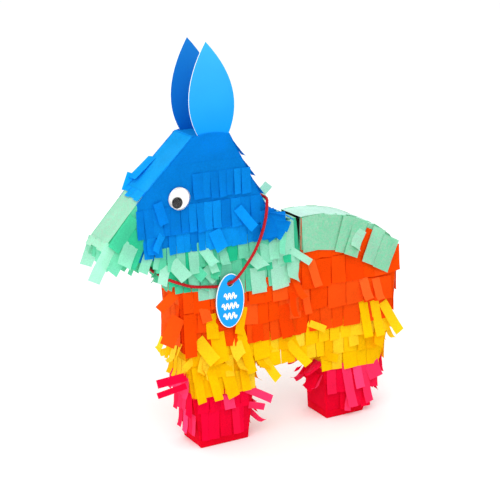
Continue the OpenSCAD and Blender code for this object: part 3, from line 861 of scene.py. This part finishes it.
def neck_side(side, seed):
    """Mint rows round the neck, with the curled strips that stand out from them."""
    name = SIDE_NAME[side]
    paper = Paper(seed)
    # A deep tone under the neck's rows: painted shade in their recesses.
    paper.skin(name + "_mint_fringe", tone=0.1)
    for start, end, length, kinds in (
            ((-74, 149), (-30, 147), 10, {"tone": 0.2}),
            ((-30, 149), (37, 153), 20, {"widths": (9, 12, 14), "tone": 0.6, "spread": 0.2}),
            ((-80, 163), (-34, 162), 17, {"widths": (7, 9), "tone": 0.15, "wild": 0.2}),
            ((-34, 162), (36, 166), 18,
             {"widths": (8, 10, 12), "tone": 0.3, "wild": 0.08, "spread": 0.2}),
            ((-90, 178), (34, 180), 20,
             {"widths": (8, 10), "tone": 0.25, "wild": 0.08, "spread": 0.2})):
        paper.side_row(side, start, end, length, **kinds)
    paper.hang(
        [side],
        (-57, 173, -1, 9, 19, 0.20, 0.3, 0.75), (-49, 174, 28, 8, 18, 0.5, 1.3, 0.8),
        (-44, 172, 10, 7, 20, 0.35, 0.5, 0.85), (-47, 157, 40, 10, 14, 0.3, 0.4, 0.8),
        (-76, 166, 36, 11, 18, 0.35, 0.3, 0.85), (-81, 164, -22, 9, 16, 0.2, 0.2, 0.9),
        (-58, 157, 3, 9, 14, 0.15, 0.2, 0.65), (-30, 168, 0, 8, 12, 0.5, 1.5, 0.7),
        (9, 170, 2, 10, 17, 0.2, 0.3, 0.72), (17, 171, -3, 9, 16, 0.25, 0.4, 0.8),
        (2, 150, 3, 14, 22, 0.1, 0.1, 0.9), (22, 155, 3, 16, 26, 0.1, 0.1, 0.95),
        (30, 163, 54, 6, 26, 0.25, -0.2, 0.9), (28, 178, -24, 6, 22, 0.4, 0.8, 0.6),
        (28, 186, 2, 17, 36, 0.04, 0.05, 0.85), (-40, 147, 0, 8, 17, 0.05, 0.05, 0.8),
        (-49, 146, 2, 9, 16, 0.05, 0.05, 0.75))
    paper.build(name + "_neck_fringe", MINT, "tissue_mint", name + "_mint_fringe")


TURN_TOP = 186.4        # top of the paper turned in round an end that faces the slit, in mm
TURN_INNER = 13.6
TURN_OUTER = 15.45


def turned_edge(paper, x_top, x_foot, foot, tone):
    """The paper turned in round an end that faces the slit: down both cheeks and across the top."""
    for low, inner, outer in ((foot, TURN_INNER, TURN_OUTER), (foot, -TURN_OUTER, -TURN_INNER),
                              (TURN_TOP - 1.8, -TURN_OUTER, TURN_OUTER)):
        rows, uv_rows = [], []
        for i in range(9):
            z = TURN_TOP + (low - TURN_TOP) * i / 8
            x = x_foot + (x_top - x_foot) * (z - foot) / (TURN_TOP - foot)
            rows.append([mm(x, inner + (outer - inner) * j / 6, z) for j in range(7)])
            uv_rows.append([(inner + j, z) for j in range(7)])
        paper.grid(rows, uv_rows, tone)


def withers():
    """The mint sheet before the slit."""
    paper = Paper(81)
    paper.skin("withers_paper", tone=0.7, crumple=0.3 * MM)
    turned_edge(paper, 39.4, 43.6, 149, 0.6)
    paper.build("withers_sheet", MINT_GLUED, "tissue_mint", "withers_paper")


CHEST_ROWS = {"mint": ((165, 16), (156, 15)), "orange": ((143, 20), (128, 20), (112, 20)),
              "yellow": ((95, 18), (80, 17)), "pink": ((64, 17), (50, 20), (30, 20))}
# The orange and pink rows across the chest get paler tones than the sides': painted light on the front
# faces.
CHEST_KINDS = {"orange": {"rise": 0.05, "curl": 0.2, "wild": 0, "spread": 0.1, "tone": 0.75},
               "pink": {"rise": 0.1, "curl": 0.4, "wild": 0.1, "tone": 0.7}}


def chest_rows(paper, colour, tone):
    """The rows of one colour across the chest: height and length in mm, and how they hang."""
    kinds = {"rise": 0.14, "curl": 0.5, "wild": 0.22, "spread": 0.2, "uneven": 0.12, "tone": tone}
    kinds.update(CHEST_KINDS.get(colour, {}))
    paper.edge_rows("chest_strip", -1, *CHEST_ROWS[colour], **kinds)


def chest_mint():
    """Mint rows across the throat, and two cuttings that stand up behind the nape's far side."""
    paper = Paper(91)
    chest_rows(paper, "mint", 0.4)
    paper.flyer((15, 13, 197), (-0.5, -0.6, 0.62), (0.78, 0, 0.62), 8, 20, 0.05, 0.3, 0.9)
    paper.flyer((15, 13, 194), (-0.35, -0.5, 0.8), (0.92, 0, 0.4), 6, 14, 0.05, 0.3, 0.8)
    paper.build("throat_strips", MINT, "tissue_mint")


def body_front(colour, seed, rows, tone):
    """Rows of one colour round the front half: both sides and the chest."""
    paper = Paper(seed)
    # The under-sheet is a quarter deeper in tone than the rows: painted shade in their recesses.
    paper.skin("front_%s_fringe" % colour, tone=tone - 0.25, foot=5 * MM)
    for side in BOTH:
        for start, end, length, kinds in rows:
            paper.side_row(side, start, end, length, tone=tone, **kinds)
    chest_rows(paper, colour, tone)
    return paper


def orange_front():
    """Orange rows of the shoulders and chest, with the strips that stand out from them."""
    wide = {"widths": (8, 10, 12, 15)}
    paper = body_front("orange", 101, (
        ((-60, 107), (40, 104), 20, wide), ((-64, 124), (41, 121), 21, wide),
        ((-67, 142), (42, 139), 21, wide)), 0.5)
    paper.hang(
        BOTH,
        (-61, 120, -1, 11, 36, 0.10, 0.05, 0.5), (2, 106, 0, 10, 20, 0.12, 0.1, 0.3),
        (27, 113, 8, 12, 28, 0.1, 0.1, 0.35), (-50, 130, 12, 9, 20, 0.2, 0.5, 0.75),
        (35, 140, 14, 6, 26, 0.5, 1.2, 0.55), (36, 124, -12, 6, 24, 0.5, 1.0, 0.4))
    paper.loose(LEFT, -71, 119, -34, 14, 25, 0.2, 0.2, 0.6)
    paper.flyer((-70, -12, 139), (-0.3, -0.85, 0.38), (-0.78, 0, -0.62), 8, 21, 0.05, 0.3, 0.6)
    paper.build("front_orange_rows", ORANGE, "tissue_orange", "front_orange_fringe")


def orange_rear():
    """Orange rows of the flanks and rump."""
    paper = Paper(102)
    paper.skin("rear_orange_fringe", tone=0.4)
    wide = {"widths": (12, 14, 18), "tone": 0.5, "rise": 0.05, "wild": 0, "spread": 0.07}
    for side in BOTH:
        paper.side_row(side, (40, 106), (126, 104), 21, **wide)
        paper.side_row(side, (42, 126), (134, 122), 21, **wide)
        paper.side_row(side, (45, 147.2), (139, 149), 24, **wide)
        paper.hang(
            [side],
            (54, 148, 14, 8, 24, 0.15, 0.3, 0.85), (108, 124, 7, 9, 20, 0.3, 0.9, 0.95),
            (121, 122, 5, 8, 20, 0.3, 0.9, 0.9), (48, 128, 4, 7, 26, 0.15, 0.4, 0.75))
    paper.edge_rows("rump_strip", 1, (147, 21), (128, 20), (108, 20), rise=0.02, curl=0.12, wild=0)
    paper.build("rear_orange_rows", ORANGE, "tissue_orange", "rear_orange_fringe")


def yellow_front():
    """Yellow rows at the top of the front leg, the shaggiest of all."""
    mixed = {"widths": (8, 9, 11), "wild": 0.15, "curl": 0.4, "spread": 0.2}
    paper = body_front("yellow", 111, (
        ((-58, 64), (1, 62), 18, mixed), ((-60, 79), (35, 76), 18, mixed),
        ((-62, 93), (38, 91), 18, mixed)), 0.5)
    paper.edge_rows("front_leg_rear_strip", 1, (76, 16), (62, 16), rise=0.3, curl=0.8, wild=0.4)
    paper.hang(
        BOTH,
        (-41, 117, 0, 11, 21, 0.12, 0.1, 0.35), (-11, 118, -15, 8, 23, 0.12, 0.1, 0.25),
        (-54, 97, 32, 11, 24, 0.3, 0.5, 0.6), (-15, 99, 14, 9, 40, 0.12, 0.15, 0.45),
        (-36, 100, 4, 13, 26, 0.16, 0.1, 0.4), (-48, 80, -30, 8, 14, 0.4, 0.7, 0.8),
        (-58, 80, -70, 7, 14, 0.4, 0.6, 0.7), (-56, 73, 7, 8, 31, 0.14, 0.1, 0.4),
        (-43, 72, 12, 8, 31, 0.14, 0.1, 0.45), (-29, 72, 13, 11, 31, 0.12, 0.1, 0.4),
        (-12, 72, 4, 8, 27, 0.16, 0.15, 0.35), (5, 74, 30, 8, 28, 0.2, 0.5, 0.6),
        (5, 92, 2, 15, 22, 0.12, 0.1, 0.45), (16, 80, 4, 12, 18, 0.12, 0.15, 0.5))
    for side in BOTH:
        paper.side_row(side, (4, 80), (36, 80), 19, tone=0.4, wild=0.3)
    paper.build("front_yellow_rows", YELLOW, "tissue_yellow", "front_yellow_fringe")


def yellow_rear():
    """Yellow rows of the belly and the top of the rear leg."""
    paper = Paper(112)
    paper.skin("rear_yellow_fringe", tone=0.4)
    wide = {"widths": (9, 11, 14), "wild": 0.06, "spread": 0.18}
    for side in BOTH:
        paper.side_row(side, (66, 65), (126, 62), 19, tone=0.5, **wide)
        paper.side_row(side, (40, 80), (130, 77), 19, tone=0.6, **wide)
        paper.side_row(side, (40, 93), (132, 91), 19, tone=0.65, **wide)
        paper.hang(
            [side],
            (108, 104, 7, 9, 34, 0.14, 0.15, 0.5), (120, 102, 8, 9, 33, 0.14, 0.2, 0.55),
            (129, 99, 26, 9, 32, 0.25, 0.2, 0.6), (32, 79, 38, 8, 27, 0.3, 0.4, 0.55),
            (52, 93, 66, 6, 17, 0.5, 1.2, 0.7), (98, 78, 4, 10, 14, 0.14, 0.1, 0.7),
            (66, 61, 72, 7, 16, 0.2, 0.3, 0.3))
    paper.edge_rows("rump_strip", 1, (92, 20), (78, 19), (64, 19), rise=0.1, curl=0.3, wild=0.06)
    paper.edge_rows("rear_leg_front_strip", -1, (78, 18), (66, 18), rise=0.3, curl=0.7, wild=0.5)
    paper.build("rear_yellow_rows", YELLOW, "tissue_yellow", "rear_yellow_fringe")


def pink_front():
    """Pink rows of the front leg, smooth on its sides, and two strips that point forwards."""
    smooth = {"widths": (7, 8, 9, 11), "rise": 0.02, "curl": 0.04, "wild": 0, "spread": 0.06}
    paper = body_front("pink", 121, (
        ((-51.5, 34), (-14, 33), 27, smooth), ((-55, 50), (-8, 48), 18, smooth)), 0.4)
    paper.hem("chest_strip", "front_leg_rear_strip", 0.5, 7, 0.05)
    paper.edge_rows("front_leg_rear_strip", 1, (50, 18), (36, 18), (24, 18), rise=0.35, curl=0.8,
                    wild=0.5, tone=0.5)
    for side in BOTH:
        paper.hang([side], (-26, 44, 4, 10, 13, 0.2, 0.4, 0.85), (-8, 45, 62, 7, 24, 0.3, 0.6, 0.8),
                   (-6, 30, 78, 6, 14, 0.3, 0.8, 0.7))
    for z, dip, width, tone in ((66, 0.06, 7, 0.5), (58, 0.14, 5, 0.4)):
        paper.flyer((-64, -14, z), (0, -0.9, 0.43), (-1, 0, -dip), width, 27, 0.1, -0.4, tone)
    paper.build("front_pink_rows", PINK, "tissue_pink", "front_pink_fringe")


def pink_rear():
    """Pink rows of the rear leg."""
    paper = Paper(122)
    paper.skin("rear_pink_fringe", tone=0.2, foot=5 * MM)
    paper.hem("rear_leg_front_strip", "rump_strip", 0.5, 7, 0.05)
    smooth = {"widths": (8, 10, 12), "wild": 0.1}
    for side in BOTH:
        paper.side_row(side, (86, 27), (113, 25), 20, tone=0.5, **smooth)
        paper.side_row(side, (72, 48), (122, 46), 24, tone=0.45, **smooth)
        paper.hang(
            [side],
            (91, 50, 8, 9, 42, 0.12, 0.2, 0.75), (103, 46, 5, 9, 22, 0.2, 0.3, 0.95),
            (109, 47, 8, 8, 38, 0.12, 0.2, 0.7), (118, 47, 14, 14, 17, 0.2, 0.2, 0.75),
            (97, 22, -20, 7, 18, 0.25, 0.3, 0.8))
    paper.edge_rows("rump_strip", 1, (52, 20), (36, 20), rise=0.25, curl=0.5, wild=0.35, tone=0.6)
    paper.edge_rows("rear_leg_front_strip", -1, (52, 18), (40, 17), rise=0.5, curl=0.7, wild=0.5,
                    tone=0.35, widths=(5, 6, 7))
    paper.build("rear_pink_rows", PINK, "tissue_pink", "rear_pink_fringe")


def lid_sheet():
    """The mint sheet over the top of the lid, in a paler copy of the mint: painted light on the top."""
    paper = Paper(131)
    paper.skin("lid_paper", tone=0.95, crumple=0.35 * MM)
    paper.build("lid_sheet", MINT_LIT_TOP, "tissue_mint", "lid_paper", body="fill_lid")


def slit_painted_shade():
    """Painted shade: near-black paper round the end of the lid that faces the slit, where the slit is in
    shade.
    """
    paper = Paper(132)
    turned_edge(paper, 44.15, 44.3, 148.4, 0.5)
    paper.build("slit_painted_shade", SLIT_SHADE, "card", body="fill_lid")


# Each strip's start and end along the back in mm, its tone, and its lift in mm.
LID_STRIPS = ((45, 61.5, 0.5, 0.7), (61.5, 85.6, 0.4, 0.8), (86, 98, 0.4, 2.1),
              (98, 111, 0.35, 1.8), (118.5, 130, 0.55, 1.2), (130, 143, 0.35, 2.0))
LID_LEAN = math.radians(27)     # the most that a strip follows the fall of the back


def lid_side(side, seed):
    """The lid's paper folded down over its cheek and cut into wide strips square to its edge."""
    name = SIDE_NAME[side]
    paper = Paper(seed)
    paper.skin(name + "_lid_fringe", tone=0.3, lowest=156 * MM)
    pick = paper.random
    top = tree_of("lid_top")
    for start, end, tone, lift in LID_STRIPS:
        place, normal, _, _ = top.ray_cast(mm((start + end) / 2, 0, 300), DOWN)
        fall = min(LID_LEAN, math.atan2(normal.x, normal.z))
        # The strips' feet follow an arch, which starts to drop behind the withers.
        foot = 156 - 0.0042 * max(0, place.x / MM - 58) ** 2
        length = (place.z / MM - foot) / math.cos(fall)
        root = Vector((place.x, side * HALF_W, place.z))
        slant = math.cos(fall) + math.sin(fall) * normal.x / normal.z
        paper.strip(root, Vector((-math.sin(fall), 0, -math.cos(fall))), Vector((0, side, 0)),
                    ((end - start) * slant + 0.4) * MM, length * MM,
                    rise=pick.uniform(0.03, 0.05) + (0.06 if foot < 150 else 0),
                    curl=pick.uniform(0, 0.12), tone=tone, lift=lift * MM, camber=0.012,
                    lean=pick.uniform(-0.03, 0.03))
    paper.loose(side, 104.5, 168, -33, 11, 18, 0.12, 1.1, 0.85, lift=2.6)
    paper.build(name + "_lid_strips", MINT_GLUED, "tissue_mint", name + "_lid_fringe",
                body="fill_lid")


def lid_orange():
    """Orange paper on the foot of the lid's cheeks, under the mint."""
    paper = Paper(145)
    for side in BOTH:
        for start in (44.6, 51):
            paper.side_row(side, (start, 157.9), (142, 160.4), 10, widths=(14, 17, 20), rise=0.02,
                           curl=0, wild=0, tone=0.45, spread=0.05, uneven=0.004)
        paper.loose(side, 115, 166.5, -28, 9, 24, 0.02, 0, 0.4, lift=0.9)
        paper.loose(side, 44.7, 186, 0, 0.9, 30, 0, 0, 0.2, lift=0.3)
    paper.build("lid_orange_band", ORANGE, "tissue_orange", body="fill_lid")


HINGE = mm(143.5, 0, 150)       # the score that the lid turns on


def hinge():
    """Paper tape over the score."""
    bm = bmesh.new()
    bm.from_mesh(NODES["hinge_tape"].data)
    for height in range(-8, 9):
        slice_mesh(bm, HINGE + mm(0, 0, height * 0.75), -DOWN)
    tape = put("hinge_paper_tape", mesh_from(bm, "hinge_paper_tape"), MINT_GLUED)
    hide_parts("hinge_tape")
    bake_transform(tape)


head_side(LEFT, 11)
head_side(RIGHT, 12)
forehead()
nape()
muzzle_band()
muzzle_side(LEFT, 51)
muzzle_side(RIGHT, 52)
muzzle_front()
jaw()
neck_side(LEFT, 71)
neck_side(RIGHT, 72)
withers()
chest_mint()
orange_front()
orange_rear()
yellow_front()
yellow_rear()
pink_front()
pink_rear()
lid_sheet()
slit_painted_shade()
lid_orange()
lid_side(LEFT, 141)
lid_side(RIGHT, 142)
hinge()


# ---------------------------------------------------------------- card, eyes and tag

# These CAD nodes stay in sight, so they only need their finished materials.
for node in EDGE_STRIPS + SIDE_PANELS + ["lid_left_lip", "lid_right_lip"]:
    paint(NODES[node].data, CARD)
for name, ear_card in (("left", EAR_CARD_LEFT), ("right", EAR_CARD_RIGHT)):
    paint(NODES[name + "_ear"].data, ear_card)
    paint(NODES[name + "_eye_backing"].data, EYE_WHITE)
    paint(NODES[name + "_pupil"].data, PUPIL_BLACK)
    paint(NODES[name + "_eye_dome"].data, EYE_CLEAR)
paint(NODES["tag"].data, TAG_CARD)


def tag_print():
    """A white rim and three rows of plain marks on both faces of the tag."""
    centre = (TAG_LOW + TAG_HIGH) / 2
    half_w, half_h = (TAG_HIGH.x - TAG_LOW.x) / 2, (TAG_HIGH.z - TAG_LOW.z) / 2
    bm = bmesh.new()

    def ribbon(points, width, y, closed=False):
        count = len(points)
        pairs = []
        for i, (x, z) in enumerate(points):
            ahead = points[(i + 1) % count] if closed else points[min(i + 1, count - 1)]
            behind = points[i - 1] if closed else points[max(i - 1, 0)]
            across = Vector((behind[1] - ahead[1], 0, ahead[0] - behind[0])).normalized()
            middle = Vector((x, y, z))
            pairs.append([bm.verts.new(middle + across * (width * k)) for k in (-0.5, 0.5)])
        last = pairs[:1] if closed else []
        for one, two in zip(pairs, pairs[1:] + last):
            bm.faces.new((one[0], one[1], two[1], two[0]))

    for y in (TAG_LOW.y - 0.04 * MM, TAG_HIGH.y + 0.04 * MM):
        rim = []
        for i in range(96):
            a = 2 * math.pi * i / 96
            rim.append((centre.x + (half_w - 0.3 * MM) * math.cos(a),
                        centre.z + (half_h - 0.3 * MM) * math.sin(a)))
        ribbon(rim, 0.5 * MM, y, closed=True)
        for height, waves, reach in ((4, 3, 5.5), (-4.5, 4, 7.5), (-13, 3, 6)):
            line = []
            for i in range(48):
                t = i / 47
                line.append((centre.x + (2 * t - 1) * reach * MM,
                             centre.z + (height + 2.3 * math.sin(2 * math.pi * waves * t)) * MM))
            ribbon(line, 1.5 * MM, y)
    bmesh.ops.recalc_face_normals(bm, faces=bm.faces)
    marks = put("tag_print", mesh_from(bm, "tag_print"), TAG_INK)
    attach(marks, "tag")


tag_print()


# ---------------------------------------------------------------- studio

LIT_PLACE = Vector((0, 0, 0.15))


def make_studio():
    """A white floor and sky, a key light high behind the camera and a weak one before the nose."""
    mesh = bpy.data.meshes.new("floor")
    mesh.from_pydata([(-20, -20, 0), (20, -20, 0), (20, 20, 0), (-20, 20, 0)], [], [(0, 1, 2, 3)])
    s = Shader("floor")
    for key, value in (("Base Color", grey(1)), ("Roughness", 0.9), ("Specular IOR Level", 0.1)):
        s.principled.inputs[key].default_value = value
    put("floor", mesh, s.material)
    world = bpy.data.worlds.new("studio")
    world.use_nodes = True
    background = world.node_tree.nodes["Background"]
    background.inputs["Color"].default_value = (1, 1, 1, 1)
    background.inputs["Strength"].default_value = 1.0
    bpy.context.scene.world = world
    for name, place, size, power in (("key", (-0.9, -1.4, 1.9), 1.6, 22),
                                     ("fill", (-2.0, -0.2, 0.8), 1.6, 8)):
        light = bpy.data.lights.new(name, "AREA")
        light.size = size
        light.energy = power
        lamp = put(name, light)
        lamp.location = place
        lamp.rotation_euler = (LIT_PLACE - Vector(place)).to_track_quat("-Z", "Y").to_euler()
    view = bpy.context.scene.view_settings
    view.view_transform = "Standard"
    view.look = "None"
    view.exposure = 0
    view.gamma = 1


make_studio()
